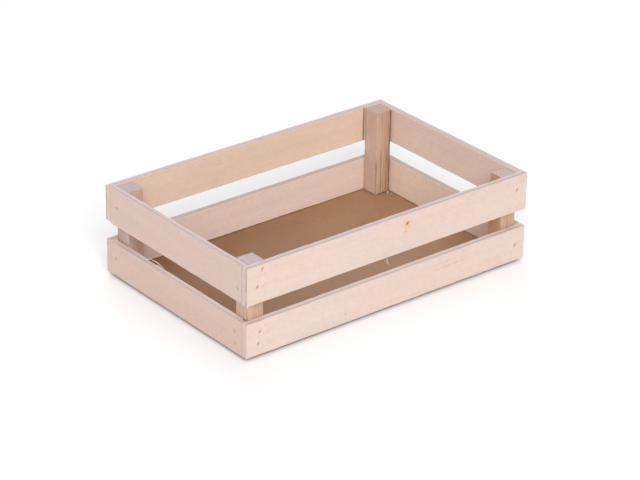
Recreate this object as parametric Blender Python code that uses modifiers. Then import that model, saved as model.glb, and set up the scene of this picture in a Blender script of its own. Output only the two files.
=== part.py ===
"""Shallow apple crate: plywood slats nailed round four corner posts, over a pinned hardboard base.

Units are metres, with +Z up, X along the crate and Y across it. The origin is at the middle of
the underside, so the crate stands on z = 0. "front" is -Y, "back" +Y, "left" -X, "right" +X.
The long slats run the full length, and the short slats butt between them.
"""

import bpy
from mathutils import Vector

CRATE = "wooden_apple_crate"

# The whole crate
LENGTH = 0.300
WIDTH = 0.195
FRAME_HEIGHT = 0.081      # of the slats and posts, which stand on the base
FIT_GAP = 0.0003          # between pieces that touch

# Base
BASE_THICKNESS = 0.0025
BASE_INSET = 0.0035       # from the slats' outer faces
BASE_EDGE = 0.0003

# Slats. The strips are sawn by hand, so their heights differ a little from side to side.
PLY = 0.006
SLAT_EDGE = 0.0003
SLAT_HEIGHT = {
    "top": {"front": 0.034, "back": 0.0325, "left": 0.0335, "right": 0.0325},
    "bottom": {"front": 0.031, "back": 0.031, "left": 0.0305, "right": 0.0315},
}

# Posts, square and sawn by hand: each one's side, how far it stands off the slats, and how far
# its top is below theirs
POST_SIDE = {"front_left": 0.016, "front_right": 0.016, "back_left": 0.016, "back_right": 0.0165}
POST_STANDOFF = {
    "front_left": FIT_GAP, "front_right": FIT_GAP, "back_left": 0.0006, "back_right": 0.0007,
}
POST_DROP = {"front_left": 0.0, "front_right": 0.0015, "back_left": 0.0008, "back_right": 0.0005}
POST_EDGE = 0.0005

# Nails and pins
FASTENER_SIDES = 12
SHANK_RADIUS = 0.0005
HEAD_THICKNESS = 0.0005
HEAD_CHAMFER = 0.00015
SINK = 0.0001             # of the head below the wood's face
POINT = 0.0015
NAIL_LENGTH = 0.016
NAIL_HEAD_RADIUS = 0.00095
PIN_LENGTH = 0.010
PIN_HEAD_RADIUS = 0.0012
PIN_OFFSET = 0.004        # of a post's two pins from its middle, along X and Y
CUTTER_REACH = 0.001      # of each hole's cutter past the wood's face

# Where the nails go, as (which end of the slat, distance from the crate's corner, height above
# the slats' lower edge). "near" is the front left or the back right corner: the crate's back
# is nailed as its front, and its right side as its left. At each post the heights on the two
# sides differ, so that the nails pass each other.
LONG_SIDE_NAILS = {
    "top": (("near", 0.0158, 0.0770), ("near", 0.0107, 0.0622), ("far", 0.0111, 0.0677)),
    "bottom": (("near", 0.0137, 0.0211), ("near", 0.0121, 0.0108), ("far", 0.0105, 0.0152)),
}
SHORT_SIDE_NAILS = {
    "top": (("near", 0.0114, 0.0596), ("far", 0.0162, 0.0651)),
    "bottom": (("near", 0.0161, 0.0192), ("near", 0.0152, 0.0089), ("far", 0.0131, 0.0172)),
}

FRAME_BOTTOM = BASE_THICKNESS + FIT_GAP
FRAME_TOP = FRAME_BOTTOM + FRAME_HEIGHT

# Outward direction of each side, and the corner direction of each post
SIDES = {"front": (0, -1), "back": (0, 1), "left": (-1, 0), "right": (1, 0)}
CORNERS = {
    "front_left": (-1, -1), "front_right": (1, -1), "back_left": (-1, 1), "back_right": (1, 1),
}


def clear_scene():
    for obj in list(bpy.data.objects):
        bpy.data.objects.remove(obj, do_unlink=True)


def new_collection(name):
    collection = bpy.data.collections.new(name)
    bpy.context.scene.collection.children.link(collection)
    return collection


def principled(name, color, roughness, metallic=0.0):
    material = bpy.data.materials.new(name)
    material.use_nodes = True
    shader = material.node_tree.nodes["Principled BSDF"]
    shader.inputs["Base Color"].default_value = (*color, 1.0)
    shader.inputs["Roughness"].default_value = roughness
    shader.inputs["Metallic"].default_value = metallic
    material.diffuse_color = (*color, 1.0)
    return material


def board(name, low, high, edge, material, parts):
    """A block between two corners, with its arrises broken by edge."""
    low, high = Vector(low), Vector(high)
    bpy.ops.mesh.primitive_cube_add(size=1.0, location=(low + high) / 2)
    block = bpy.context.object
    block.name = name
    block.data.name = name
    block.scale = high - low
    bpy.ops.object.transform_apply(location=False, rotation=False, scale=True)
    for collection in list(block.users_collection):
        collection.objects.unlink(block)
    parts.objects.link(block)
    block.data.materials.append(material)
    bevel = block.modifiers.new("broken_edges", "BEVEL")
    bevel.width = edge
    bevel.segments = 1
    return block


def turned_mesh(name, profile):
    """The profile, as (radius, height) points from the top of the axis to its bottom."""
    mesh = bpy.data.meshes.new(name)
    points = [(radius, 0.0, height) for radius, height in profile]
    mesh.from_pydata(points, [(i, i + 1) for i in range(len(points) - 1)], [])
    return mesh


def turned(name, mesh, place, direction, collection):
    """A turned piece whose axis runs from place along direction."""
    piece = bpy.data.objects.new(name, mesh)
    collection.objects.link(piece)
    piece.location = place
    piece.rotation_mode = "QUATERNION"
    piece.rotation_quaternion = Vector(direction).to_track_quat("-Z", "Y")
    screw = piece.modifiers.new("turning", "SCREW")
    screw.steps = FASTENER_SIDES
    screw.render_steps = FASTENER_SIDES
    screw.use_merge_vertices = True
    screw.merge_threshold = 0.00001
    screw.use_smooth_shade = True
    return piece


def fastener_profile(length, head_radius):
    head_under = -SINK - HEAD_THICKNESS
    return (
        (0.0, -SINK),
        (head_radius - HEAD_CHAMFER, -SINK),
        (head_radius, -SINK - HEAD_CHAMFER),
        (head_radius, head_under),
        (SHANK_RADIUS, head_under),
        (SHANK_RADIUS, -length + POINT),
        (0.0, -length),
    )


def hole_profile(length, head_radius):
    shoulder = -SINK - HEAD_THICKNESS - FIT_GAP
    return (
        (0.0, CUTTER_REACH),
        (head_radius + FIT_GAP, CUTTER_REACH),
        (head_radius + FIT_GAP, shoulder),
        (SHANK_RADIUS + FIT_GAP, shoulder),
        (SHANK_RADIUS + FIT_GAP, -length - FIT_GAP),
        (0.0, -length - FIT_GAP),
    )


class Fastener:
    """One kind of nail or pin, with the clearance hole that goes with it."""

    def __init__(self, kind, length, head_radius, material, parts, cutters):
        self.mesh = turned_mesh(kind, fastener_profile(length, head_radius))
        self.mesh.materials.append(material)
        self.hole_mesh = turned_mesh(kind + "_hole", hole_profile(length, head_radius))
        self.parts = parts
        self.cutters = cutters

    def drive(self, name, place, direction, woods):
        """Puts one in at place, and cuts its hole in each piece of wood that it enters."""
        turned(name, self.mesh, place, direction, self.parts)
        cutter = turned(name + "_hole", self.hole_mesh, place, direction, self.cutters)
        cutter.hide_render = True
        cutter.display_type = "WIRE"
        for wood in woods:
            hole = wood.modifiers.new(name + "_hole", "BOOLEAN")
            hole.operation = "DIFFERENCE"
            hole.solver = "EXACT"
            hole.object = cutter


def make_base(material, parts):
    half_length = LENGTH / 2 - BASE_INSET
    half_width = WIDTH / 2 - BASE_INSET
    low = (-half_length, -half_width, 0.0)
    high = (half_length, half_width, BASE_THICKNESS)
    return board("base_panel", low, high, BASE_EDGE, material, parts)


def post_middle(corner):
    """The middle of a post in plan."""
    inset = PLY + POST_STANDOFF[corner] + POST_SIDE[corner] / 2
    right, back = CORNERS[corner]
    return Vector((right * (LENGTH / 2 - inset), back * (WIDTH / 2 - inset), 0.0))


def make_posts(material, parts):
    posts = {}
    for corner in CORNERS:
        middle = post_middle(corner)
        half = Vector((POST_SIDE[corner] / 2, POST_SIDE[corner] / 2, 0.0))
        low = middle - half
        high = middle + half
        low.z = FRAME_BOTTOM
        high.z = FRAME_TOP - POST_DROP[corner]
        posts[corner] = board("post_" + corner, low, high, POST_EDGE, material, parts)
    return posts


def slat_extent(side):
    """The slat's low and high corners in plan, as (x, y) pairs."""
    right, back = SIDES[side]
    if back:
        outer = back * WIDTH / 2
        inner = outer - back * PLY
        return (-LENGTH / 2, min(outer, inner)), (LENGTH / 2, max(outer, inner))
    outer = right * LENGTH / 2
    inner = outer - right * PLY
    end = WIDTH / 2 - PLY - FIT_GAP
    return (min(outer, inner), -end), (max(outer, inner), end)


def make_slats(material, parts):
    slats = {}
    for row, heights in SLAT_HEIGHT.items():
        for side, height in heights.items():
            bottom = FRAME_BOTTOM if row == "bottom" else FRAME_TOP - height
            low, high = slat_extent(side)
            name = f"slat_{row}_{side}"
            slats[row, side] = board(
                name, (*low, bottom), (*high, bottom + height), SLAT_EDGE, material, parts
            )
    return slats


def nail_corner(side, end):
    """The corner that a slat's near or far end is at."""
    near = {"front": "front_left", "left": "front_left", "back": "back_right", "right": "back_right"}
    far = {"front": "front_right", "left": "back_left", "back": "back_left", "right": "front_right"}
    return (near if end == "near" else far)[side]


def nail_place(side, corner, distance, height):
    """The point on the slat's outer face where a nail goes in."""
    right, back = CORNERS[corner]
    place = Vector((right * LENGTH / 2, back * WIDTH / 2, FRAME_BOTTOM + height))
    if side in ("front", "back"):
        place.x -= right * distance
    else:
        place.y -= back * distance
    return place


def nail_slats(slats, posts, nail):
    for side, (right, back) in SIDES.items():
        rows = LONG_SIDE_NAILS if back else SHORT_SIDE_NAILS
        for row, places in rows.items():
            for number, (end, distance, height) in enumerate(places, start=1):
                corner = nail_corner(side, end)
                place = nail_place(side, corner, distance, height)
                woods = (slats[row, side], posts[corner])
                nail.drive(f"nail_{row}_{side}_{number}", place, (-right, -back, 0.0), woods)


def pin_base(base, posts, pin):
    for corner, post in posts.items():
        outward = Vector((*CORNERS[corner], 0.0)) * PIN_OFFSET
        for number, offset in enumerate((outward, -outward), start=1):
            place = post_middle(corner) + offset
            pin.drive(f"pin_{corner}_{number}", place, (0.0, 0.0, 1.0), (base, post))


def main():
    clear_scene()
    parts = new_collection(CRATE)
    cutters = new_collection(CRATE + "_cutters")
    plywood = principled("slat_plywood", (0.80, 0.62, 0.50), 0.6)
    softwood = principled("post_softwood", (0.66, 0.46, 0.33), 0.65)
    hardboard = principled("base_hardboard", (0.36, 0.20, 0.10), 0.55)
    steel = principled("nail_steel", (0.30, 0.26, 0.23), 0.45, 1.0)
    base = make_base(hardboard, parts)
    posts = make_posts(softwood, parts)
    slats = make_slats(plywood, parts)
    nail = Fastener("nail", NAIL_LENGTH, NAIL_HEAD_RADIUS, steel, parts, cutters)
    nail_slats(slats, posts, nail)
    pin = Fastener("pin", PIN_LENGTH, PIN_HEAD_RADIUS, steel, parts, cutters)
    pin_base(base, posts, pin)


main()
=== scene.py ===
"""Looks of the shallow apple crate: birch plywood slats, softwood corner posts, a hardboard base,
oval brads and round panel pins, on a plain pale floor.

Every wooden piece is a board with its own three directions: u along the grain, v across it and
w through the thickness, from 0 at the outer or lower face. A board is a fine closed mesh round
its CAD node's box, and its mesh carries those places in metres, so that one set of materials
suits boards that lie any way.
"""

import math

import bpy
import numpy as np
from mathutils import Matrix, Quaternion, Vector


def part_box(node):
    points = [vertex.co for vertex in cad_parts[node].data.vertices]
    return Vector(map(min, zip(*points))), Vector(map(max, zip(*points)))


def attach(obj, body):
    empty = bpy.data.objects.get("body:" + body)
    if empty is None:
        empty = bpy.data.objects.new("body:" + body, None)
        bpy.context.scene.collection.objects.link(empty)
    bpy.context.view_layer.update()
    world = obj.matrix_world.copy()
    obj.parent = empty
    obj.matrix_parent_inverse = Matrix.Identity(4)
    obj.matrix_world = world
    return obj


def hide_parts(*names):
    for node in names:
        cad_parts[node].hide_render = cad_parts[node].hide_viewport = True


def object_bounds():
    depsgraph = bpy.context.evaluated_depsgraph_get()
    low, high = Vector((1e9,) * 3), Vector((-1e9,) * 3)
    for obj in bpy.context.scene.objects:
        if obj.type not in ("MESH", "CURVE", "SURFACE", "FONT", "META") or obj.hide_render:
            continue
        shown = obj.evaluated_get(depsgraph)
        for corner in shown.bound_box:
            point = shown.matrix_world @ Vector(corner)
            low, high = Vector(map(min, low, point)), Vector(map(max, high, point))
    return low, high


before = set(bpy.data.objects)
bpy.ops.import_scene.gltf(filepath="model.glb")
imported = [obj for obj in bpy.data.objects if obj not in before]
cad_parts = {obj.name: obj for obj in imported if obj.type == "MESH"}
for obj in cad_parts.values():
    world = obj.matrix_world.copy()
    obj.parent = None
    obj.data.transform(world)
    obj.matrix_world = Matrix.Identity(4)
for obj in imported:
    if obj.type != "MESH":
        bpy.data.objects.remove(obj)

MM = 0.001

# Camera, aimed near the crate's middle
VIEW_AZIMUTH = -39.14
VIEW_ELEVATION = 26.60
VIEW_ROLL = 0.99
VIEW_DISTANCE = 2.2396
VIEW_AIM = (-0.0025, -0.0070, 0.0293)
VIEW_LENS = 148.16

# Boards
ARRIS = 0.35 * MM             # radius of a slat's eased edges
POST_ARRIS = 0.55 * MM
BASE_ARRIS = 0.30 * MM
PLIES = 5

# Steps of the boards' grids, where a board is plain and round its finer features
SLAT_STEP = 2.5 * MM
PLY_STEP = 0.4 * MM           # through a slat's thickness
GLUE_STEP = 0.09 * MM         # beside each glue line
NAIL_STEP = 0.25 * MM
NAIL_REACH = 2.0 * MM         # half the width of the fine grid round a nail or a pin
CHIP_STEP = 0.6 * MM
CHIP_REACH = 1.0 * MM         # of the finer grid past each end of a chip
POST_STEP = 1.6 * MM
SECTION_STEP = 0.45 * MM      # across a post
BASE_STEP = 4.0 * MM
PIN_STEP = 0.4 * MM

# Unevenness of the boards
SLAT_CHIPS = 7                # small ones, besides those of CHIPS
POST_CHIPS = 5
PLY_SETBACK = 0.06 * MM       # of every other ply in a sawn edge
GLUE_DEPTH = 0.05 * MM
GLUE_WIDTH = 0.07 * MM
WAVES = 14                    # plane waves in each piece of noise
STRAIGHT = 500 * MM           # a wavelength too long to show
SLAT_SEED = 100
POST_SEED = 300
BASE_SEED = 500
FASTENER_SEED = 700
STRAND_SEED = 900

# Nails and pins, and their marks
DENT_DEPTH = 0.30 * MM
PIN_DENT_DEPTH = 0.22 * MM
DENT_RIM = 0.15               # height of the crushed rim, as a part of the depth
BRAD_LONG = 0.90 * MM         # half the oval head's length and width
BRAD_WIDE = 0.55 * MM
BRAD_TILT = 35.0              # of the heads, from upright towards the slat's right end
BRAD_CLEARANCE = 0.15 * MM    # of the dent round a head
PIN_CLEARANCE = 0.10 * MM
FRONT_NAIL_STAIN = 0.75       # strength of the stain round each nail
NAIL_STAIN = 0.35
PIN_RADIUS = 1.15 * MM

UP = Vector((0.0, 0.0, 1.0))
SIDES = {
    "front": Vector((0.0, -1.0, 0.0)), "back": Vector((0.0, 1.0, 0.0)),
    "left": Vector((-1.0, 0.0, 0.0)), "right": Vector((1.0, 0.0, 0.0)),
}

cad_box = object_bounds()


# ---------------------------------------------------------------- node trees

class Shader:
    """A material on one Principled BSDF, whose node tree is built with short calls."""

    def __init__(self, name, specular, metallic=0.0, seed=None):
        """With no seed given, the places and the seed are those that a board's mesh carries."""
        self.material = bpy.data.materials.new(name)
        self.material.use_nodes = True
        self.tree = self.material.node_tree
        self.surface = self.tree.nodes["Principled BSDF"]
        self.surface.inputs["Specular IOR Level"].default_value = specular
        self.surface.inputs["Metallic"].default_value = metallic
        if seed is None:
            self.place = self.attribute("grain", "Vector")
            self.seed = self.attribute("seed")
        else:
            self.place = self.node("TexCoord").outputs["Object"]
            self.seed = seed
        separate = self.node("SeparateXYZ")
        self.feed(separate.inputs[0], self.place)
        self.u, self.v, self.w = separate.outputs

    def node(self, kind, **settings):
        """A new node of the tree, of the type whose name ends with kind."""
        made = self.tree.nodes.new("ShaderNode" + kind)
        for key, value in settings.items():
            setattr(made, key, value)
        return made

    def feed(self, socket, value):
        if isinstance(value, bpy.types.NodeSocket):
            self.tree.links.new(value, socket)
        else:
            socket.default_value = value

    def attribute(self, name, output="Fac"):
        return self.node("Attribute", attribute_name=name).outputs[output]

    def math(self, operation, a, b=0.0):
        made = self.node("Math", operation=operation)
        self.feed(made.inputs[0], a)
        self.feed(made.inputs[1], b)
        return made.outputs[0]

    def scaled(self, vector, scale):
        """The vector times another, axis by axis."""
        made = self.node("VectorMath", operation="MULTIPLY")
        self.feed(made.inputs[0], vector)
        self.feed(made.inputs[1], scale)
        return made.outputs[0]

    def product(self, value, *factors):
        for factor in factors:
            value = self.math("MULTIPLY", value, factor)
        return value

    def ranged(self, value, low, high, new_low=0.0, new_high=1.0):
        made = self.node("MapRange")
        for socket, given in zip(made.inputs, (value, low, high, new_low, new_high)):
            self.feed(socket, given)
        return made.outputs[0]

    def near_arris(self, full, none):
        """1 up to one distance from an arris, falling to 0 at another."""
        return self.ranged(self.attribute("rim"), full, none, 1.0, 0.0)

    def noise(self, scale, detail=2.0, roughness=0.5, distortion=0.0):
        """Noise whose scale, in bumps a metre, is given along u, v and w."""
        made = self.node("TexNoise", noise_dimensions="4D")
        self.feed(made.inputs["Vector"], self.scaled(self.place, scale))
        self.feed(made.inputs["W"], self.seed)
        made.inputs["Scale"].default_value = 1.0
        made.inputs["Detail"].default_value = detail
        made.inputs["Roughness"].default_value = roughness
        made.inputs["Distortion"].default_value = distortion
        return made.outputs["Fac"]

    def mix(self, factor, a, b, blend="MIX"):
        made = self.node("Mix", data_type="RGBA", blend_type=blend)
        self.feed(made.inputs[0], factor)
        for socket, colour in ((made.inputs[6], a), (made.inputs[7], b)):
            self.feed(socket, (*colour, 1.0) if isinstance(colour, tuple) else colour)
        return made.outputs[2]

    def shade(self, colour, factor):
        """The colour times a number."""
        made = self.node("VectorMath", operation="SCALE")
        self.feed(made.inputs[0], colour)
        self.feed(made.inputs["Scale"], factor)
        return made.outputs[0]

    def bump(self, height, distance, strength, normal=None):
        made = self.node("Bump")
        made.inputs["Distance"].default_value = distance
        made.inputs["Strength"].default_value = strength
        self.feed(made.inputs["Height"], height)
        if normal is not None:
            self.feed(made.inputs["Normal"], normal)
        return made.outputs["Normal"]

    def spot(self, u, v, half_u, half_v, softness, slope):
        """1 at a point of a board's face, falling to 0 on an oval round it, which may slant.

        softness is the part of the oval's radius that the fall takes up.
        """
        moved = self.node("VectorMath", operation="SUBTRACT")
        self.feed(moved.inputs[0], self.place)
        moved.inputs[1].default_value = (u, v, 0.0)
        squares = []
        for axis in ((1 / half_u, 0.0, 0.0), (-slope / half_v, 1 / half_v, 0.0)):
            along = self.node("VectorMath", operation="DOT_PRODUCT")
            self.feed(along.inputs[0], moved.outputs[0])
            along.inputs[1].default_value = axis
            squares.append(self.product(along.outputs["Value"], along.outputs["Value"]))
        far = self.math("SQRT", self.math("ADD", *squares))
        return self.ranged(far, 1.0, 1.0 - softness)

    def column(self, v, w, radius, strength, core=0.15):
        """The strength on a line along the grain, falling to 0 at the radius from it.

        core is the part of the radius that keeps the full strength.
        """
        moved = self.node("VectorMath", operation="SUBTRACT")
        self.feed(moved.inputs[0], self.place)
        moved.inputs[1].default_value = (0.0, v, w)
        length = self.node("VectorMath", operation="LENGTH")
        self.feed(length.inputs[0], self.scaled(moved.outputs[0], (0.0, 1.0, 1.0)))
        near = self.ranged(length.outputs["Value"], radius, core * radius)
        return self.product(near, strength)

    def varied(self, colour, noise, darkest, palest):
        """The colour times one number where the noise is low, and another where it is high."""
        return self.shade(colour, self.ranged(noise, 0.3, 0.7, darkest, palest))

    def stained(self, colour, amount, tint):
        """The colour, taken by an amount from 0 to 1 towards its product with the tint."""
        return self.mix(amount, colour, tint, "MULTIPLY")

    def finish(self, colour, roughness, normal=None):
        self.feed(self.surface.inputs["Base Color"], colour)
        self.feed(self.surface.inputs["Roughness"], roughness)
        if normal is not None:
            self.feed(self.surface.inputs["Normal"], normal)
        return self.material


# ---------------------------------------------------------------- materials

ARRIS_GREY = (0.545, 0.455, 0.455)
TORN_PLIES = (0.46, 0.31, 0.22)
SCREEN_PITCH = 1.25 * MM


def times(colour, factor):
    return tuple(factor * channel for channel in colour)


def plywood_face(name, outer, inner, thickness, nails, nail_stain, marks):
    """Rotary-cut birch: faint contour figure, fine fibres and pores, and the marks on one slat."""
    s = Shader(name, specular=0.25)
    inside = s.math("GREATER_THAN", s.w, thickness / 2)
    outside = s.math("SUBTRACT", 1.0, inside)
    colour = s.mix(inside, outer, inner)

    # Broad pink and cream clouds, then long faint bands
    clouds = s.noise((14, 40, 0), detail=3.0)
    colour = s.stained(colour, s.ranged(clouds, 0.35, 0.70, 0.0, 0.40), (1.03, 0.955, 0.90))
    bands = s.noise((9, 130, 0))
    colour = s.varied(colour, bands, 0.968, 1.022)
    mottle = s.noise((240, 420, 0), detail=3.0, roughness=0.7)
    colour = s.varied(colour, mottle, 0.950, 1.042)

    # Contour lines of the growth rings, where the knife ran through them at a slant
    field = s.noise((7, 34, 0), detail=1.0, distortion=0.6)
    rings = s.math("FRACT", s.product(field, 18.0))
    late = s.product(s.ranged(rings, 0.70, 1.0), s.ranged(rings, 1.0, 0.97))
    fade = s.ranged(s.noise((11, 50, 0)), 0.42, 0.68)
    late = s.product(late, fade)
    colour = s.stained(colour, s.product(late, 0.30), (0.93, 0.80, 0.66))

    # Fibres and pores
    fibres = s.noise((60, 2400, 0), detail=4.0, roughness=0.7)
    colour = s.varied(colour, fibres, 0.965, 1.025)
    pores = s.ranged(s.noise((260, 3800, 0), detail=1.0), 0.66, 0.74)
    colour = s.shade(colour, s.ranged(pores, 0.0, 1.0, 1.0, 0.90))

    ragged = s.ranged(s.noise((130, 1500, 0)), 0.38, 0.56)
    for side, u, v, half_u, half_v, slope, softness, strength, tint in marks:
        area = s.spot(u, v, half_u, half_v, softness, slope)
        if half_u > 4 * half_v:
            area = s.product(area, ragged)
        amount = s.product(area, outside if side == "outer" else inside)
        colour = s.stained(colour, s.product(amount, strength), tint)

    # Wood crushed and stained round each brad
    for u, v in nails:
        ring = s.spot(u, v, 2.1 * MM, 2.5 * MM, softness=0.6, slope=0.5)
        amount = s.product(ring, nail_stain, outside)
        colour = s.stained(colour, amount, (0.80, 0.62, 0.47))

    # The colour is tinted and greyed a little near the arrises, and torn wood shows fresh
    rim = s.near_arris(0.0, 0.9 * MM)
    colour = s.stained(colour, s.product(rim, 0.25), (0.90, 0.80, 0.74))
    arris = s.near_arris(0.20 * MM, 0.50 * MM)
    colour = s.mix(s.product(arris, 0.50), colour, ARRIS_GREY)
    colour = s.stained(colour, s.attribute("torn"), (0.94, 0.80, 0.64))

    roughness = s.ranged(fibres, 0.3, 0.7, 0.52, 0.66)
    normal = s.bump(fibres, 0.035 * MM, 0.5)
    normal = s.bump(late, 0.03 * MM, 0.4, normal)
    return s.finish(colour, roughness, normal)


def plywood_edge(name, thickness, light_first, light, dark, glue_line, outermost, shaded_halves):
    """The plies on a sawn edge: long grain where a ply runs along it, end grain between.

    outermost is the colour of the outer veneer's edge, which has weathered apart from the rest.
    shaded_halves are the painted shade of the edge's outer and inner half, which differs between
    the near and the far sides as the light falls on them. light_first is whether the outermost ply
    shows long grain here.
    """
    s = Shader(name, specular=0.2)
    wander = s.noise((90, 90, 0))
    depth = s.math("ADD", s.w, s.ranged(wander, 0.0, 1.0, -0.12 * MM, 0.12 * MM))
    # Counted from an even number well above 0, as MODULO turns over below it
    ply = s.math("ADD", s.product(depth, PLIES / thickness), 2.0 * PLIES)
    cross = s.math("GREATER_THAN", s.math("MODULO", ply, 2.0), 1.0)
    if not light_first:
        cross = s.math("SUBTRACT", 1.0, cross)
    within = s.math("FRACT", ply)
    to_glue = s.math("MINIMUM", within, s.math("SUBTRACT", 1.0, within))

    long_grain = s.noise((80, 80, 3200), detail=3.0, roughness=0.65)
    end_grain = s.noise((2600, 2600, 2600), detail=3.0, roughness=0.75)
    patches = s.noise((25, 120, 0), detail=3.0)
    long_colour = s.mix(s.ranged(long_grain, 0.3, 0.7), light, times(light, 0.90))
    end_colour = s.mix(s.ranged(end_grain, 0.35, 0.65), dark, times(dark, 0.84))
    colour = s.mix(cross, long_colour, end_colour)
    specks = s.ranged(s.noise((420, 420, 420)), 0.38, 0.54, 0.25, 1.0)
    veneer = s.ranged(depth, 1.0 * thickness / PLIES, 1.2 * thickness / PLIES, 1.0, 0.0)
    colour = s.mix(s.product(veneer, specks), colour, outermost)
    glue = s.product(s.ranged(to_glue, 0.0, 0.10, 1.0, 0.0),
                     s.ranged(patches, 0.35, 0.60, 0.25, 0.75))
    colour = s.mix(glue, colour, glue_line)
    colour = s.varied(colour, patches, 0.93, 1.05)
    # Painted shade: the outer and inner half of the edge are darkened or lightened by the side the
    # slat is on
    colour = s.shade(colour, s.ranged(depth, 0.46 * thickness, 0.54 * thickness, *shaded_halves))

    # Painted highlight: towards the arrises the colour is lightened, where the rounded edge catches
    # the light
    rim = s.near_arris(0.0, 0.5 * MM)
    colour = s.mix(s.product(rim, 0.4), colour, s.mix(veneer, light, outermost))
    torn = s.attribute("torn")
    colour = s.mix(s.product(torn, 0.8), colour, TORN_PLIES)

    height = s.math("ADD", s.product(end_grain, cross), long_grain)
    return s.finish(colour, s.ranged(end_grain, 0.3, 0.7, 0.68, 0.85),
                    s.bump(height, 0.08 * MM, 0.6))


def softwood(name, spacing, early, end_tint, contrast, heart, stains):
    """Planed softwood: narrow dark latewood lines, and grey end grain on the sawn top.

    heart is the darker heartwood, and each stain a dark mark that runs up the post. Both are
    given as a place in the section, a radius and a strength, and a stain also by its top.
    """
    s = Shader(name, specular=0.25)
    ring = s.math("ADD", s.attribute("ring"),
                  s.ranged(s.noise((30, 500, 500)), 0.0, 1.0, -0.25 * MM, 0.25 * MM))
    phase = s.math("FRACT", s.product(ring, 1 / spacing))
    late = s.product(s.ranged(phase, 0.35, 0.92), s.ranged(phase, 1.0, 0.94))
    late = s.math("POWER", late, 1.6)
    uneven = s.ranged(s.noise((18, 300, 300)), 0.35, 0.65, 0.25, 1.0)
    late = s.product(late, uneven)

    hearted = s.column(*heart)
    streaks = s.ranged(s.noise((38, 950, 950), detail=3.0), 0.47, 0.60)
    low_down = s.ranged(s.u, 0.055, 0.005, 0.55, 1.0)
    resin = s.product(streaks, low_down, hearted)

    colour = s.stained(early, s.product(hearted, 0.75), (0.78, 0.66, 0.50))
    strength = s.math("ADD", contrast, s.product(hearted, 1.0 - contrast))
    colour = s.stained(colour, s.product(late, strength), (0.66, 0.54, 0.42))
    colour = s.stained(colour, s.product(resin, 0.8), (0.55, 0.43, 0.30))
    for *column, top in stains:
        gaps = s.ranged(s.noise((70, 500, 500)), 0.34, 0.50, 0.45, 1.0)
        gaps = s.product(gaps, s.ranged(s.u, top, 0.75 * top))
        amount = s.product(s.column(*column, core=0.55), gaps)
        colour = s.stained(colour, amount, (0.34, 0.25, 0.19))

    fibres = s.noise((70, 2600, 2600), detail=4.0, roughness=0.7)
    colour = s.varied(colour, fibres, 0.94, 1.05)
    blotches = s.noise((60, 220, 220), detail=3.0, roughness=0.65)
    colour = s.varied(colour, blotches, 0.91, 1.07)

    end = s.attribute("end")
    cells = s.noise((0, 5200, 5200))
    saw_marks = s.noise((0, 900, 140))
    grey = s.stained(end_tint, s.product(late, 0.55), (0.66, 0.62, 0.60))
    grey = s.varied(grey, cells, 0.88, 1.08)
    grey = s.varied(grey, saw_marks, 0.90, 1.07)
    colour = s.mix(end, colour, grey)
    rim = s.near_arris(0.0, 0.7 * MM)
    colour = s.stained(colour, s.product(rim, 0.30), (0.88, 0.78, 0.70))
    colour = s.stained(colour, s.attribute("torn"), (0.96, 0.84, 0.68))
    normal = s.bump(fibres, 0.05 * MM, 0.6)
    return s.finish(colour, s.ranged(fibres, 0.3, 0.7, 0.58, 0.74), normal)


def hardboard(name, brown, screened):
    """Pressed brown fibres. The lower face carries the print of the press's wire screen."""
    s = Shader(name, specular=0.35)
    fibres = s.noise((900, 900, 900), detail=5.0, roughness=0.75, distortion=0.8)
    clumps = s.noise((170, 170, 170), detail=3.0, roughness=0.6)
    clouds = s.noise((14, 14, 14))
    colour = s.mix(s.ranged(fibres, 0.3, 0.7), times(brown, 0.88), times(brown, 1.12))
    colour = s.varied(colour, clumps, 0.90, 1.09)
    colour = s.varied(colour, clouds, 0.95, 1.05)

    # Painted light: the board is lighter towards its right end, and along its front and left edges,
    # to stand for how the light falls on it inside the crate
    colour = s.stained(colour, s.ranged(s.u, 0.04, 0.27), (1.51, 1.75, 2.04))
    painted_light_edges = s.math("MAXIMUM", s.ranged(s.v, 0.110, 0.080), s.ranged(s.u, 0.085, 0.060))
    colour = s.stained(colour, painted_light_edges, (1.15, 1.18, 1.32))

    flecks = s.ranged(s.noise((420, 420, 420)), 0.69, 0.74)
    colour = s.shade(colour, s.ranged(flecks, 0.0, 1.0, 1.0, 0.78))
    pale = s.ranged(s.noise((330, 1500, 900), detail=1.0), 0.72, 0.76)
    colour = s.mix(s.product(pale, 0.35), colour, times(brown, 1.35))
    height, distance = fibres, 0.03 * MM
    if screened:
        waves = [s.math("SINE", s.product(axis, 2 * math.pi / SCREEN_PITCH)) for axis in (s.u, s.v)]
        print_height = s.product(*waves)
        colour = s.shade(colour, s.ranged(print_height, -1.0, 1.0, 0.82, 1.08))
        height = s.math("ADD", s.product(print_height, 2.0), fibres)
        distance = 0.10 * MM
    rim = s.near_arris(0.0, 1.2 * MM)
    colour = s.mix(s.product(rim, 0.3), colour, times(brown, 0.7))
    return s.finish(colour, s.ranged(clumps, 0.3, 0.7, 0.42, 0.60), s.bump(height, distance, 0.6))


def dull_steel():
    """Drawn wire, dull and browned."""
    s = Shader("dull_steel", specular=0.3, metallic=0.7, seed=0.0)
    rust = s.noise((900, 900, 900), detail=4.0)
    colour = s.mix(s.ranged(rust, 0.40, 0.62), (0.42, 0.345, 0.285), (0.26, 0.175, 0.115))
    s.seed = 1.0
    scratches = s.noise((6000, 6000, 1500))
    return s.finish(colour, s.ranged(rust, 0.3, 0.7, 0.42, 0.66),
                    s.bump(scratches, 0.02 * MM, 0.5))


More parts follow.
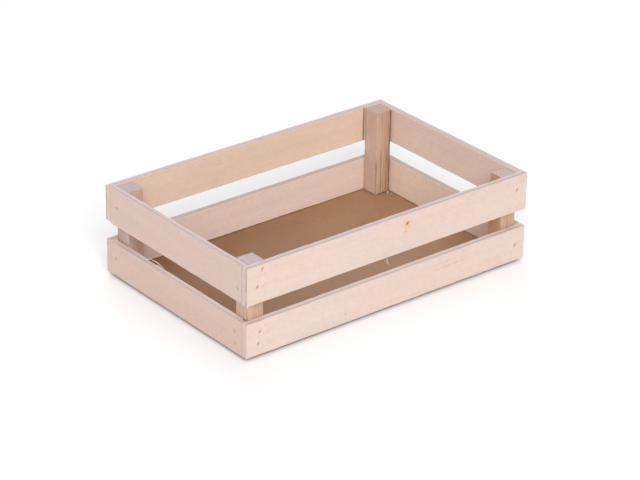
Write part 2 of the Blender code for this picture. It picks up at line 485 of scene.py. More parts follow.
def loose_wood(name, light, dark):
    """Torn fibres, and in the dark colours also a painted shade at one corner."""
    s = Shader(name, specular=0.2, seed=2.0)
    fibres = s.noise((900, 900, 900), detail=3.0)
    colour = s.mix(s.ranged(fibres, 0.35, 0.65), light, dark)
    return s.finish(colour, s.ranged(fibres, 0.3, 0.7, 0.6, 0.8), s.bump(fibres, 0.03 * MM, 0.5))


def pale_floor():
    s = Shader("pale_floor", specular=0.1, seed=0.0)
    mottle = s.noise((9, 9, 9), detail=3.0)
    return s.finish(s.mix(mottle, (0.93, 0.93, 0.93), (0.95, 0.95, 0.95)), 0.9)


# ---------------------------------------------------------------- board meshes

def grid_lines(length, radius, step, spots=(), extra=()):
    """Places of the grid's lines across one side: close at both arrises and round each spot.

    A spot is (place, reach, step).
    """
    edge = radius * np.array([0.0, 0.35, 0.7, 1.0, 1.45])
    start = edge[-1] + 0.7 * radius
    inner = np.linspace(start, length - start, max(2, round((length - 2 * start) / step) + 1))
    for place, reach, fine in spots:
        inner = inner[np.abs(inner - place) > reach]
        inner = np.append(inner, np.arange(place - reach, place + reach + fine / 2, fine))
    inner = np.append(inner, extra)
    inner = np.sort(inner[(inner >= start) & (inner <= length - start)])
    least = min([0.08 * MM] + [fine / 2 for _, _, fine in spots])
    kept = [inner[0]]
    for line in inner[1:]:
        if line - kept[-1] >= least:
            kept.append(line)
    return np.concatenate([edge, kept, length - edge[::-1]])


def shell(lines):
    """The surface of a block on these grid lines: its points, quads and each quad's axis."""
    shape = tuple(len(axis) for axis in lines)
    on_surface = np.zeros(shape, bool)
    for axis in range(3):
        np.moveaxis(on_surface, axis, 0)[[0, -1]] = True
    number = np.full(shape, -1)
    number[on_surface] = np.arange(on_surface.sum())
    places = np.argwhere(on_surface)
    points = np.column_stack([lines[axis][places[:, axis]] for axis in range(3)])
    quads, axes = [], []
    for axis in range(3):
        for end in (0, -1):
            side = np.take(number, end, axis=axis)
            corners = [side[:-1, :-1], side[1:, :-1], side[1:, 1:], side[:-1, 1:]]
            made = np.stack(corners, axis=-1).reshape(-1, 4)
            if (end == 0) != (axis == 1):
                made = made[:, ::-1]
            quads.append(made)
            axes.append(np.full(len(made), axis))
    return points, np.concatenate(quads), np.concatenate(axes)


def wobble(places, rng, wavelengths):
    """Smooth seeded noise of about unit height, from plane waves in many directions."""
    scaled = places / np.array(wavelengths)
    total = np.zeros(len(places))
    for _ in range(WAVES):
        direction = rng.normal(size=3)
        direction *= rng.uniform(0.7, 1.5) * 2 * math.pi / np.linalg.norm(direction)
        total += np.sin(scaled @ direction + rng.uniform(0, 2 * math.pi))
    return total / math.sqrt(WAVES / 2)


def smooth(x):
    """0 below 0, 1 above 1, and a soft step between."""
    x = np.clip(x, 0.0, 1.0)
    return x * x * (3 - 2 * x)


class Board:
    """A board's surface while it is shaped, in its own u, v and w, in metres."""

    def __init__(self, size, radius, lines, rng):
        self.size = np.array(size)
        self.radius = radius
        self.rng = rng
        block, self.quads, self.axes = shell(lines)
        core = np.clip(block, radius, self.size - radius)
        out = block - core
        self.normals = out / np.linalg.norm(out, axis=1, keepdims=True)
        self.grain = block
        self.points = core + radius * self.normals
        # Distance from the nearest arris, how torn the wood is, and distance from the pith
        self.rim = np.sort(np.minimum(block, self.size - block), axis=1)[:, 1]
        self.torn = np.zeros(len(block))
        self.ring = np.zeros(len(block))

    def facing(self, axis):
        """How squarely each point faces along an axis, from 0 to 1."""
        return np.abs(self.normals[:, axis])

    def sink(self, depth):
        """Moves each point into the wood."""
        self.points -= self.normals * np.asarray(depth)[:, None]

    def undulate(self, height, wavelengths, where):
        """Slow waves up to twice the height deep, which never stand proud."""
        waves = np.clip(wobble(self.grain, self.rng, wavelengths), -1.0, 1.0)
        self.sink(height * (1.0 + waves) * where)

    def wear_arrises(self, depth, length):
        """Uneven easing of the arrises."""
        near = smooth(1.0 - self.rim / (2.2 * self.radius))
        worn = np.clip(wobble(self.grain, self.rng, (length,) * 3) - 0.2, 0.0, 2.0)
        self.sink(depth * worn * near)

    def chip(self, u, v_end, w_end, length, width, depth):
        """A sliver torn out of a long arris. v_end and w_end are 0 or 1, the faces it parts."""
        across = np.hypot(self.grain[:, 1] - v_end * self.size[1],
                          self.grain[:, 2] - w_end * self.size[2])
        along = (self.grain[:, 0] - u) / (length / 2)
        ragged = 1.0 + 0.25 * wobble(self.grain, self.rng, (1.3 * MM, 0.8 * MM, 0.8 * MM))
        amount = smooth(1.0 - across / (width * ragged)) * smooth(2.2 * (1.0 - np.abs(along)))
        self.sink(depth * amount)
        self.torn = np.maximum(self.torn, smooth(amount * 2.5))

    def dent(self, u, v, half_u, half_v, depth, tilt=0.0):
        """An oval dent in the w = 0 face, with a low crushed rim."""
        turn = math.radians(tilt)
        du, dv = self.grain[:, 0] - u, self.grain[:, 1] - v
        along = (du * math.sin(turn) + dv * math.cos(turn)) / half_v
        across = (du * math.cos(turn) - dv * math.sin(turn)) / half_u
        far = np.hypot(along, across)
        outer = np.clip(-self.normals[:, 2], 0.0, 1.0)
        bowl = smooth(1.35 - far) - DENT_RIM * np.exp(-(((far - 1.55) / 0.28) ** 2))
        self.sink(depth * bowl * outer)
        self.torn = np.maximum(self.torn, 0.8 * smooth(1.6 - far) * outer)

    def object(self, name, origin, directions, materials, seed, material_of=(0, 0, 0)):
        """The finished piece.

        directions are those of u, v and w. seed sets its figure, and material_of says which of
        the materials is on the faces across each of the three.
        """
        turn = Matrix(directions).transposed()
        inside = np.clip(self.points, 0.0, self.size)
        placed = inside @ np.array(directions) + np.array(origin)
        quads = self.quads if turn.determinant() > 0 else self.quads[:, ::-1]
        mesh = bpy.data.meshes.new(name)
        mesh.vertices.add(len(placed))
        mesh.vertices.foreach_set("co", placed.astype(np.float32).ravel())
        mesh.loops.add(quads.size)
        mesh.loops.foreach_set("vertex_index", quads.astype(np.int32).ravel())
        mesh.polygons.add(len(quads))
        mesh.polygons.foreach_set("loop_start", np.arange(0, quads.size, 4, dtype=np.int32))
        for material in materials:
            mesh.materials.append(material)
        slots = np.array(material_of, np.int32)[self.axes]
        mesh.polygons.foreach_set("material_index", slots)
        mesh.update(calc_edges=True)
        mesh.validate()
        mesh.shade_smooth()
        vector = mesh.attributes.new("grain", "FLOAT_VECTOR", "POINT")
        vector.data.foreach_set("vector", self.grain.astype(np.float32).ravel())
        numbers = {
            "rim": self.rim, "torn": self.torn, "ring": self.ring,
            "end": smooth(self.facing(0) / 0.6), "seed": np.full(len(placed), seed),
        }
        for key, values in numbers.items():
            made = mesh.attributes.new(key, "FLOAT", "POINT")
            made.data.foreach_set("value", values.astype(np.float32))
        piece = bpy.data.objects.new(name, mesh)
        bpy.context.scene.collection.objects.link(piece)
        return piece


def board_frame(node, along, inward):
    """A node's box as a board: its size along u, v and w, its origin and its directions.

    along is the direction of u and inward that of w.
    """
    low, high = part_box(node)
    across = UP if abs(along.dot(UP)) < 0.5 else along.cross(inward) * -1.0
    directions = [along, across, inward]
    corners = [sorted((low.dot(d), high.dot(d))) for d in directions]
    size = [far - near for near, far in corners]
    origin = sum((d * near for d, (near, far) in zip(directions, corners)), Vector())
    return size, origin, directions


def stand_for(piece, node):
    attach(piece, "root")
    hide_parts(node)


# ---------------------------------------------------------------- slats

# Base colours of each slat's outer and inner veneer. The inner veneers of the back and right slats
# are painted light: they are lighter than those at the front and left, the bottom ones most, to
# lift the shade inside the crate.
VENEERS = {
    "slat_top_front": ((0.720, 0.570, 0.500), (0.80, 0.62, 0.51)),
    "slat_bottom_front": ((0.728, 0.588, 0.518), (0.80, 0.62, 0.51)),
    "slat_top_left": ((0.700, 0.538, 0.465), (0.80, 0.62, 0.50)),
    "slat_bottom_left": ((0.695, 0.527, 0.450), (0.80, 0.62, 0.50)),
    "slat_top_back": ((0.725, 0.560, 0.480), (0.845, 0.658, 0.530)),
    "slat_bottom_back": ((0.715, 0.560, 0.475), (0.858, 0.700, 0.630)),
    "slat_top_right": ((0.720, 0.560, 0.480), (0.860, 0.680, 0.600)),
    "slat_bottom_right": ((0.715, 0.550, 0.470), (0.900, 0.745, 0.640)),
}

# The plies on the sawn edges and on the ends: those along the grain, those across it, the glue
# lines and the outer veneer. The bottom row's edge plies are painted light: lighter than the top
# row's, to lift the shade that the top slats cast on them.
EDGE_PLIES = {
    "top": ((0.69, 0.570, 0.560), (0.565, 0.457, 0.452), (0.43, 0.35, 0.34), (0.71, 0.58, 0.525)),
    "bottom": ((0.78, 0.64, 0.58), (0.65, 0.525, 0.480), (0.48, 0.375, 0.34), (0.77, 0.62, 0.55)),
}
END_PLIES = {
    "top": ((0.79, 0.64, 0.585), (0.72, 0.560, 0.495), (0.50, 0.38, 0.34), (0.34, 0.195, 0.165)),
    "bottom": ((0.77, 0.61, 0.54), (0.71, 0.55, 0.475), (0.52, 0.395, 0.34), (0.65, 0.49, 0.415)),
}

# Painted shade on the outer and inner half of the sawn edges, on the front and left, and elsewhere:
# the half nearer the camera is darker, and the bottom row's far edges are darker still
NEAR_EDGE_SHADE = {"top": (0.89, 1.09), "bottom": (0.89, 1.09)}
FAR_EDGE_SHADE = {"top": (1.05, 0.96), "bottom": (0.84, 0.78)}

ORANGE = (0.90, 0.64, 0.40)
UMBER = (0.55, 0.40, 0.28)
PINK = (0.94, 0.80, 0.74)
STREAK_SOFTNESS = 0.9


def knot(u, v, radius, strength):
    """A pin knot: a pale orange halo, a brown core and a dark eye off its middle."""
    return (
        ("outer", u, v, 2.6 * radius, 2.1 * radius, 0.2, 0.9, 0.9 * strength, (0.97, 0.80, 0.62)),
        ("outer", u, v, 1.1 * radius, 0.9 * radius, 0.4, 0.6, strength, (0.74, 0.44, 0.25)),
        ("outer", u - 0.25 * radius, v + 0.1 * radius, 0.4 * radius, 0.4 * radius, 0.0, 0.8,
         strength, (0.30, 0.19, 0.12)),
    )


def line(side, start, end, half_width, strength, tint):
    """A thin streak between two points of a face."""
    (u0, v0), (u1, v1) = start, end
    return (
        side, (u0 + u1) / 2, (v0 + v1) / 2, (u1 - u0) / 2, half_width, (v1 - v0) / (u1 - u0),
        STREAK_SOFTNESS, strength, tint,
    )


# Marks on the faces, as (side, u, v, half length, half height, slope, softness, strength, tint)
MARKS = {
    "slat_top_front": (
        *knot(0.1664, 0.0254, 2.1 * MM, 1.0), *knot(0.1684, 0.0222, 0.8 * MM, 0.75),
        *knot(0.1651, 0.0185, 1.0 * MM, 0.6),
    ),
    "slat_bottom_front": (
        *knot(0.1022, 0.0086, 0.8 * MM, 0.7),
        line("outer", (0.1880, 0.0235), (0.2330, 0.0243), 0.75 * MM, 0.9, ORANGE),
        line("outer", (0.1920, 0.0189), (0.2380, 0.0193), 0.75 * MM, 1.0, ORANGE),
        line("outer", (0.1840, 0.0157), (0.1990, 0.0158), 0.60 * MM, 0.7, ORANGE),
        line("outer", (0.1470, 0.0058), (0.1670, 0.0048), 0.70 * MM, 0.9, ORANGE),
        line("outer", (0.1630, 0.0036), (0.1870, 0.0042), 0.70 * MM, 0.8, ORANGE),
    ),
    "slat_top_left": (
        ("outer", 0.0292, 0.0048, 1.0 * MM, 0.8 * MM, 0.0, 1.0, 0.8, PINK),
        line("outer", (0.0900, 0.0230), (0.1150, 0.0244), 0.7 * MM, 0.35, ORANGE),
    ),
    "slat_bottom_left": (
        line("outer", (0.0350, 0.0080), (0.0700, 0.0095), 0.8 * MM, 0.35, ORANGE),
        # Painted shade: a dark band on the inner face under the lifted sliver, along the torn arris
        ("inner", 0.1270, 0.0292, 12 * MM, 1.6 * MM, 0.0, 0.8, 0.7, UMBER),
    ),
    "slat_top_back": (
        # Painted shade: a dark line on the inner face beside the back right post, in the gap
        # between post and slat
        ("inner", 0.2757, 0.0150, 1.2 * MM, 45 * MM, 0.0, 0.6, 0.95, (0.34, 0.24, 0.17)),
        line("inner", (0.2480, 0.0120), (0.2740, 0.0260), 0.6 * MM, 0.45, ORANGE),
        line("inner", (0.2500, 0.0040), (0.2740, 0.0190), 0.6 * MM, 0.35, ORANGE),
        line("inner", (0.0600, 0.0200), (0.1500, 0.0225), 0.8 * MM, 0.35, ORANGE),
        line("inner", (0.1200, 0.0110), (0.2200, 0.0125), 0.7 * MM, 0.30, ORANGE),
    ),
    "slat_bottom_back": (*knot(0.2120, 0.0180, 0.8 * MM, 0.4),),
    "slat_top_right": (
        line("inner", (0.0900, 0.0120), (0.1400, 0.0135), 0.7 * MM, 0.30, ORANGE),
    ),
    "slat_bottom_right": (
        ("inner", 0.1500, 0.0215, 1.0 * MM, 0.7 * MM, 0.0, 0.9, 0.7, ORANGE),
    ),
}

# Slivers torn from the long arrises, as (u, v end, w end, length, width, depth)
CHIPS = {
    "slat_bottom_left": (
        (0.1300, 1, 1, 14 * MM, 1.5 * MM, 0.8 * MM), (0.1120, 1, 1, 10 * MM, 1.0 * MM, 0.4 * MM),
        (0.0030, 1, 1, 6 * MM, 2.0 * MM, 1.2 * MM),
    ),
}


def nail_nodes(slat):
    """The nails in a slat, by name."""
    start = slat.replace("slat", "nail") + "_"
    return sorted(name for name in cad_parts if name.startswith(start))


def middle(node):
    low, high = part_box(node)
    return (low + high) / 2


def make_slat(node, side, number, edge_materials):
    """One slat. edge_materials are those of its sawn edges and of its ends."""
    inward = -SIDES[side]
    along = Vector((1.0, 0.0, 0.0)) if side in ("front", "back") else Vector((0.0, 1.0, 0.0))
    size, origin, directions = board_frame(node, along, inward)
    rng = np.random.default_rng(SLAT_SEED + number)
    nails = [middle(name) - origin for name in nail_nodes(node)]
    nails = [(place.dot(along), place.dot(UP)) for place in nails]
    chips = list(CHIPS.get(node, ()))
    for _ in range(SLAT_CHIPS):
        chips.append((
            rng.uniform(0.06, 0.94) * size[0], int(rng.integers(2)), int(rng.integers(2)),
            rng.uniform(2.0, 7.0) * MM, rng.uniform(0.4, 0.9) * MM, rng.uniform(0.12, 0.4) * MM,
        ))
    u_spots = [(u, NAIL_REACH, NAIL_STEP) for u, _ in nails]
    u_spots += [(chip[0], chip[3] / 2 + CHIP_REACH, CHIP_STEP) for chip in chips]
    v_spots = [(v, NAIL_REACH, NAIL_STEP) for _, v in nails]
    near_arris = np.array([0.9, 1.2, 1.6]) * MM
    glue = size[2] / PLIES * np.arange(1, PLIES)
    glue_lines = [place + step * GLUE_STEP for place in glue for step in (-1, 0, 1)]
    lines = (
        grid_lines(size[0], ARRIS, SLAT_STEP, u_spots),
        grid_lines(size[1], ARRIS, SLAT_STEP, v_spots, [*near_arris, *(size[1] - near_arris)]),
        grid_lines(size[2], ARRIS, PLY_STEP, (), glue_lines),
    )
    board = Board(size, ARRIS, lines, rng)

    # Sawn edges wander a little, and every other ply and the glue lines stand back in them
    sawn = board.facing(1)
    ends = board.facing(0)
    board.undulate(0.10 * MM, (45 * MM, STRAIGHT, 60 * MM), sawn)
    board.undulate(0.02 * MM, (2.2 * MM, STRAIGHT, 1.5 * MM), sawn)
    board.undulate(0.04 * MM, (30 * MM, 14 * MM, STRAIGHT), board.facing(2))
    ply = board.grain[:, 2] * PLIES / size[2]
    is_cross = np.mod(np.floor(ply), 2) == 1
    glue_groove = np.exp(-((np.abs(ply - np.round(ply)) * size[2] / PLIES / GLUE_WIDTH) ** 2))
    glue_groove *= (np.round(ply) > 0) & (np.round(ply) < PLIES)
    board.sink(sawn ** 4 * (PLY_SETBACK * is_cross + GLUE_DEPTH * glue_groove))
    board.sink(ends ** 4 * (PLY_SETBACK * ~is_cross + GLUE_DEPTH * glue_groove))
    board.wear_arrises(0.10 * MM, 9 * MM)
    for chip in chips:
        board.chip(*chip)
    for u, v in nails:
        board.dent(u, v, BRAD_WIDE + BRAD_CLEARANCE, BRAD_LONG + BRAD_CLEARANCE, DENT_DEPTH,
                   BRAD_TILT)

    outer, inner = VENEERS[node]
    stain = FRONT_NAIL_STAIN if side == "front" else NAIL_STAIN
    face = plywood_face(node + "_veneer", outer, inner, size[2], nails, stain, MARKS[node])
    piece = board.object(
        node.replace("slat", "plywood"), origin, directions, [face, *edge_materials],
        seed=number * 7.3, material_of=(2, 1, 0))
    stand_for(piece, node)


def make_slats():
    thickness = min(high - low for low, high in zip(*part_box("slat_top_front")))
    number = 0
    for row, plies in EDGE_PLIES.items():
        end = plywood_edge(f"plywood_{row}_end", thickness, False, *END_PLIES[row], (1.0, 1.0))
        near = plywood_edge(f"plywood_{row}_edge_near", thickness, True, *plies, NEAR_EDGE_SHADE[row])
        far = plywood_edge(f"plywood_{row}_edge_far", thickness, True, *plies, FAR_EDGE_SHADE[row])
        for side in SIDES:
            number += 1
            edge = near if side in ("front", "left") else far
            make_slat(f"slat_{row}_{side}", side, number, [edge, end])


# ---------------------------------------------------------------- posts

# Each post's pith, heartwood and stains in its section, from its corner at low x and low y, the
# rings' spacing, its early wood, its end grain and the contrast of its latewood
POST_LOOKS = {
    "front_left": dict(
        pith=(-30 * MM, -14 * MM), spacing=2.6 * MM, early=(0.70, 0.48, 0.375),
        end=(0.53, 0.434, 0.426), contrast=0.35, heart=(15 * MM, 0 * MM, 17 * MM, 0.7), stains=()),
    "front_right": dict(
        pith=(60 * MM, -45 * MM), spacing=2.8 * MM, early=(0.66, 0.43, 0.29),
        end=(0.54, 0.43, 0.39), contrast=0.35, heart=(8 * MM, 8 * MM, 14 * MM, 0.5), stains=()),
    "back_left": dict(
        pith=(-22 * MM, 50 * MM), spacing=2.3 * MM, early=(0.66, 0.47, 0.38),
        end=(0.508, 0.412, 0.398), contrast=0.12, heart=(0 * MM, 15 * MM, 14 * MM, 0.3), stains=()),
    "back_right": dict(
        pith=(-70 * MM, 4 * MM), spacing=2.4 * MM, early=(0.675, 0.500, 0.400),
        end=(0.505, 0.378, 0.324), contrast=0.30, heart=(17 * MM, 0 * MM, 18 * MM, 1.0),
        stains=((16.6 * MM, -0.2 * MM, 2.0 * MM, 1.0, 0.11),
                (6.0 * MM, -0.3 * MM, 0.9 * MM, 0.40, 0.05),
                (0.3 * MM, -0.2 * MM, 1.5 * MM, 0.50, 0.04),
                (12.6 * MM, -0.3 * MM, 1.0 * MM, 0.45, 0.055))),
}


def make_post(corner, number):
    node = "post_" + corner
    size, origin, directions = board_frame(node, UP, Vector((0.0, 1.0, 0.0)))
    rng = np.random.default_rng(POST_SEED + number)
    looks = POST_LOOKS[corner]
    pith, spacing = looks["pith"], looks["spacing"]
    lines = (
        grid_lines(size[0], POST_ARRIS, POST_STEP),
        grid_lines(size[1], POST_ARRIS, SECTION_STEP),
        grid_lines(size[2], POST_ARRIS, SECTION_STEP),
    )
    board = Board(size, POST_ARRIS, lines, rng)
    bend = 0.5 * MM * wobble(board.grain, rng, (70 * MM, 30 * MM, 30 * MM))
    board.ring = np.hypot(board.grain[:, 1] - pith[0], board.grain[:, 2] - pith[1]) + bend

    # Planing leaves the harder latewood proud on the sides, and the saw its marks on the ends
    sides = 1.0 - board.facing(0)
    phase = np.mod(board.ring / spacing, 1.0)
    ridges = smooth((phase - 0.4) / 0.4) * smooth((1.0 - phase) / 0.1)
    board.sink(0.05 * MM * (1.0 - ridges) * sides)
    board.undulate(0.07 * MM, (40 * MM, 12 * MM, 12 * MM), sides)
    board.undulate(0.06 * MM, (STRAIGHT, 5 * MM, 2.5 * MM), board.facing(0))
    board.wear_arrises(0.22 * MM, 7 * MM)
    for _ in range(POST_CHIPS):
        board.chip(rng.uniform(0.05, 0.95) * size[0], int(rng.integers(2)), int(rng.integers(2)),
                   rng.uniform(3.0, 9.0) * MM, rng.uniform(0.6, 1.2) * MM,
                   rng.uniform(0.15, 0.4) * MM)
    material = softwood(node + "_softwood", spacing, looks["early"], looks["end"],
                        looks["contrast"], looks["heart"], looks["stains"])
    piece = board.object(
        "corner_" + node, origin, directions, [material], seed=40 + number * 5.1)
    stand_for(piece, node)


# ---------------------------------------------------------------- base

BASE_BROWN = (0.240, 0.118, 0.053)


def make_base():
    node = "base_panel"
    low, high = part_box(node)
    size = list(high - low)
    rng = np.random.default_rng(BASE_SEED)
    pins = [middle(name) - low for name in sorted(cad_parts) if name.startswith("pin_")]
    lines = (
        grid_lines(size[0], BASE_ARRIS, BASE_STEP, [(pin.x, NAIL_REACH, PIN_STEP) for pin in pins]),
        grid_lines(size[1], BASE_ARRIS, BASE_STEP, [(pin.y, NAIL_REACH, PIN_STEP) for pin in pins]),
        grid_lines(size[2], BASE_ARRIS, BASE_ARRIS),
    )
    board = Board(size, BASE_ARRIS, lines, rng)
    edges = 1.0 - board.facing(2)
    board.undulate(0.05 * MM, (60 * MM, 60 * MM, STRAIGHT), board.facing(2))
    board.undulate(0.10 * MM, (3 * MM, 3 * MM, 0.8 * MM), edges)
    board.wear_arrises(0.15 * MM, 5 * MM)
    for pin in pins:
        dent_radius = PIN_RADIUS + PIN_CLEARANCE
        board.dent(pin.x, pin.y, dent_radius, dent_radius, PIN_DENT_DEPTH)
    materials = [hardboard("hardboard_smooth", BASE_BROWN, False),
                 hardboard("hardboard_screened", times(BASE_BROWN, 0.85), True)]
    directions = [Vector((1.0, 0.0, 0.0)), Vector((0.0, 1.0, 0.0)), UP]
    piece = board.object("hardboard_base", low, directions, materials, seed=90.0)
    for face in piece.data.polygons:
        if face.normal.z < -0.5:
            face.material_index = 1
    stand_for(piece, node)


# ---------------------------------------------------------------- nails and pins

def loft(name, rings, material):
    """A closed skin over rings of as many points each, with a fan over each end."""
    sides = len(rings[0])
    points = [point for ring in rings for point in ring]
    faces = []
    for start in range(0, len(points) - sides, sides):
        for k in range(sides):
            after = (k + 1) % sides
            faces.append((start + k, start + sides + k, start + sides + after, start + after))
    for ring, start, step in ((rings[0], 0, 1), (rings[-1], len(points) - sides, -1)):
        middle_point = len(points)
        points.append(sum(ring, Vector()) / sides)
        for k in range(sides):
            faces.append((start + k, start + (k + 1) % sides, middle_point)[::step])
    mesh = bpy.data.meshes.new(name)
    mesh.from_pydata(points, [], faces)
    mesh.validate()
    mesh.shade_smooth()
    mesh.materials.append(material)
    piece = bpy.data.objects.new(name, mesh)
    bpy.context.scene.collection.objects.link(piece)
    return piece


# A driven nail's sections. Those of the head are (part of the head's size, height from its top in
# millimetres), and those of the point (part of the shank's radius, height above the tip).
HEAD_SECTIONS = (
    (0.45, -0.02), (0.80, -0.05), (0.95, -0.12), (1.00, -0.24), (0.98, -0.42), (0.80, -0.50),
)
POINT_SECTIONS = ((1.0, 1.6), (0.6, 0.7), (0.12, 0.0))
SHANK_RADIUS = 0.5 * MM
SHANK_TOP = -0.75 * MM
NAIL_SIDES = 24
NAIL_ROUGHNESS = 0.015        # of the sections, as a part of their size


def driven(name, node, head, tilt, material, rng):
    """A wire nail with a low domed head, along its CAD node. head is (half length, half width)."""
    low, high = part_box(node)
    extent = high - low
    axis = max(range(3), key=lambda i: extent[i])
    outward = Vector((0.0, 0.0, 0.0))
    outward[axis] = -1.0 if middle(node)[axis] < 0 or axis == 2 else 1.0
    length = extent[axis]
    top = middle(node) + outward * length / 2
    turn = outward.to_track_quat("Z", "Y") @ Quaternion((0.0, 0.0, 1.0), math.radians(tilt))
    sections = [(part * head[0], part * head[1], height * MM) for part, height in HEAD_SECTIONS]
    sections.append((SHANK_RADIUS, SHANK_RADIUS, SHANK_TOP))
    for part, above in POINT_SECTIONS:
        sections.append((part * SHANK_RADIUS, part * SHANK_RADIUS, -length + above * MM))
    rings = []
    for long_half, wide_half, height in sections:
        ring = []
        for k in range(NAIL_SIDES):
            angle = 2 * math.pi * k / NAIL_SIDES
            rough = 1.0 + NAIL_ROUGHNESS * rng.normal()
            place = Vector((wide_half * math.cos(angle) * rough,
                            long_half * math.sin(angle) * rough, height))
            ring.append(top + turn @ place)
        rings.append(ring)
    stand_for(loft(name, rings, material), node)


def make_fasteners():
    steel = dull_steel()
    rng = np.random.default_rng(FASTENER_SEED)
    for node in sorted(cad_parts):
        if node.startswith("nail_"):
            driven(node.replace("nail", "brad"), node, (BRAD_LONG, BRAD_WIDE),
                   -BRAD_TILT + rng.uniform(-6, 6), steel, rng)
        elif node.startswith("pin_"):
            driven(node.replace("pin", "panel_pin"), node, (PIN_RADIUS, PIN_RADIUS), 0.0,
                   steel, rng)


# ---------------------------------------------------------------- loose fibres and splinters

# Each as its points, its width and its thickness in millimetres, the direction of its width, and
# whether it is pale wood, not bark. The dark piece at the front left post's foot is painted shade.
STRANDS = {
    "loose_fibre": (
        ((-4.0, -96.6, 50.6), (-4.3, -97.0, 47.8), (-4.0, -97.1, 45.2), (-2.9, -97.1, 43.3),
         (-1.2, -97.0, 42.8)), 0.60, 0.30, (1, 0, 0), True),
    "lifted_sliver": (
        ((-144.6, 18.0, 32.8), (-143.6, 26.0, 33.5), (-142.9, 33.0, 33.9), (-143.2, 40.0, 34.1),
         (-144.4, 47.0, 33.2)), 0.80, 0.30, (0.3, 0, 1), True),
    "corner_splinter": (
        ((-149.0, -96.9, 51.6), (-148.7, -97.1, 49.8), (-148.1, -97.0, 48.0)),
        1.10, 0.50, (1, 0, 0), True),
    # Painted shade: a dark piece in the bark's brown, in the shaded gap where the front left post
    # meets the slats
    "corner_painted_shade": (
        ((-146.2, -90.6, 32.9), (-145.7, -89.6, 34.0), (-145.0, -88.2, 34.4)),
        1.00, 0.60, (1, 0, 0), False),
    "post_foot_splinter": (
        ((-145.2, -89.9, 33.0), (-144.6, -88.9, 35.3), (-144.9, -88.0, 36.8)),
        0.80, 0.35, (0, 1, 0), True),
    "crumb_1": (
        ((138.2, 70.6, 2.9), (139.8, 71.9, 3.6), (141.6, 72.3, 3.2)), 1.30, 0.70, (0, 0, 1), True),
    "crumb_2": (
        ((139.3, 67.6, 2.8), (140.7, 68.2, 3.3), (141.6, 69.4, 3.0)), 0.90, 0.55, (1, 0, 0), True),
    "crumb_3": (
        ((141.2, 69.9, 2.8), (142.3, 70.9, 3.2), (142.9, 71.6, 2.9)), 1.10, 0.55, (1, 0, 0), False),
    "crumb_4": (
        ((136.4, 71.9, 2.7), (137.2, 72.6, 3.0), (138.0, 72.7, 2.8)), 0.70, 0.50, (0, 1, 0), False),
}

STRAND_STEPS = 7              # between one point and the next
STRAND_SIDES = 8


def smooth_curve(points):
    """Points along a Catmull-Rom curve through these, with the end points kept."""
    padded = [points[0], *points, points[-1]]
    made = []
    for p0, p1, p2, p3 in zip(padded, padded[1:], padded[2:], padded[3:]):
        for k in range(STRAND_STEPS):
            t = k / STRAND_STEPS
            made.append(0.5 * (
                2 * p1 + (p2 - p0) * t + (2 * p0 - 5 * p1 + 4 * p2 - p3) * t * t
                + (3 * p1 - 3 * p2 + p3 - p0) * t ** 3))
    return made + [points[-1]]


def make_strand(name, points, width, thickness, across, material, rng):
    """A flat, tapered and slightly rough strand along a curve."""
    centres = smooth_curve([Vector(p) * MM for p in points])
    across = Vector(across).normalized()
    rings = []
    for number, centre in enumerate(centres):
        part = number / (len(centres) - 1)
        ahead = centres[min(number + 1, len(centres) - 1)] - centres[max(number - 1, 0)]
        through = ahead.cross(across).normalized()
        taper = 0.12 + 0.88 * min(1.0, 3.5 * part, 3.5 * (1.0 - part)) * rng.uniform(0.85, 1.1)
        ring = []
        for k in range(STRAND_SIDES):
            turn = 2 * math.pi * k / STRAND_SIDES
            ring.append(centre + across * (math.cos(turn) * width / 2 * taper * MM)
                        + through * (math.sin(turn) * thickness / 2 * taper * MM))
        rings.append(ring)
    return loft(name, rings, material)


def make_strands():
    pale = loose_wood("loose_wood", (0.88, 0.80, 0.72), (0.74, 0.62, 0.52))
    brown = loose_wood("bark_and_painted_shade", (0.34, 0.21, 0.13), (0.20, 0.11, 0.06))
    rng = np.random.default_rng(STRAND_SEED)
    for name, (points, width, thickness, across, is_pale) in STRANDS.items():
        material = pale if is_pale else brown
        piece = make_strand(name, points, width, thickness, across, material, rng)
        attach(piece, "root")


# ---------------------------------------------------------------- floor, light, camera

FLOOR_HALF = 9.0
FLOOR_GAP = 0.0002            # below the crate

# Square soft lights, as (name, azimuth, elevation, distance, side, power)
SOFTBOXES = (
    ("key", -32.0, 36.0, 4.6, 2.6, 136.0),
    ("overhead", 0.0, 89.0, 5.0, 5.0, 68.0),
    ("back_fill", 150.0, 38.0, 4.6, 2.6, 45.0),
)
SKY_COLOUR = (0.97, 0.98, 1.0, 1.0)
SKY_STRENGTH = 0.46


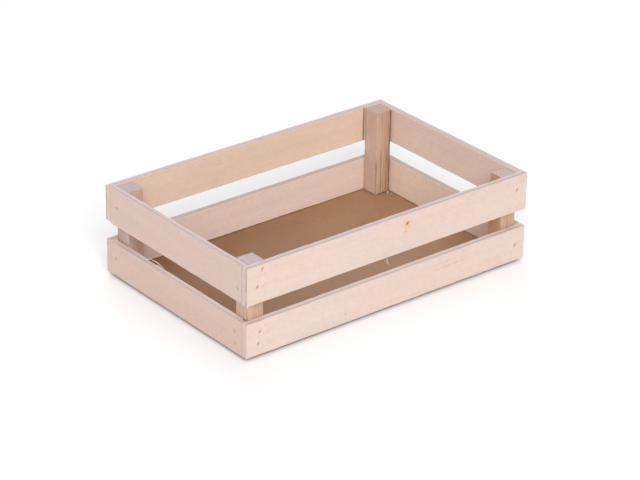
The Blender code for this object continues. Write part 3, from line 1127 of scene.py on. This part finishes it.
def make_floor():
    mesh = bpy.data.meshes.new("floor")
    corners = [(x * FLOOR_HALF, y * FLOOR_HALF, 0) for x, y in ((-1, -1), (1, -1), (1, 1), (-1, 1))]
    mesh.from_pydata(corners, [], [(0, 1, 2, 3)])
    mesh.materials.append(pale_floor())
    floor = bpy.data.objects.new("floor", mesh)
    bpy.context.scene.collection.objects.link(floor)
    floor.location.z = cad_box[0].z - FLOOR_GAP


def add_softbox(name, azimuth, elevation, distance, size, power):
    light = bpy.data.lights.new(name, "AREA")
    light.shape = "SQUARE"
    light.size = size
    light.energy = power
    lamp = bpy.data.objects.new(name, light)
    bpy.context.scene.collection.objects.link(lamp)
    back = direction_to(azimuth, elevation)
    lamp.location = back * distance
    lamp.rotation_mode = "QUATERNION"
    lamp.rotation_quaternion = back.to_track_quat("Z", "Y")


def direction_to(azimuth, elevation):
    """From the crate's middle towards a point at this azimuth, 0 at the front, and elevation."""
    a, e = math.radians(azimuth), math.radians(elevation)
    return Vector((math.sin(a) * math.cos(e), -math.cos(a) * math.cos(e), math.sin(e)))


def light_scene():
    world = bpy.data.worlds.new("studio")
    world.use_nodes = True
    sky = world.node_tree.nodes["Background"]
    sky.inputs["Color"].default_value = SKY_COLOUR
    sky.inputs["Strength"].default_value = SKY_STRENGTH
    bpy.context.scene.world = world
    for softbox in SOFTBOXES:
        add_softbox(*softbox)
    bpy.context.scene.view_settings.view_transform = "Standard"


def make_camera():
    data = bpy.data.cameras.new("camera")
    data.lens = VIEW_LENS
    data.clip_start = 0.05
    data.clip_end = 50.0
    camera = bpy.data.objects.new("camera", data)
    bpy.context.scene.collection.objects.link(camera)
    back = direction_to(VIEW_AZIMUTH, VIEW_ELEVATION)
    camera.location = Vector(VIEW_AIM) + back * VIEW_DISTANCE
    camera.rotation_mode = "QUATERNION"
    roll = Quaternion((0.0, 0.0, 1.0), math.radians(VIEW_ROLL))
    camera.rotation_quaternion = (-back).to_track_quat("-Z", "Y") @ roll
    bpy.context.scene.camera = camera


make_camera()
make_slats()
for post_number, post_corner in enumerate(POST_LOOKS):
    make_post(post_corner, post_number)
make_base()
make_fasteners()
make_strands()
make_floor()
light_scene()
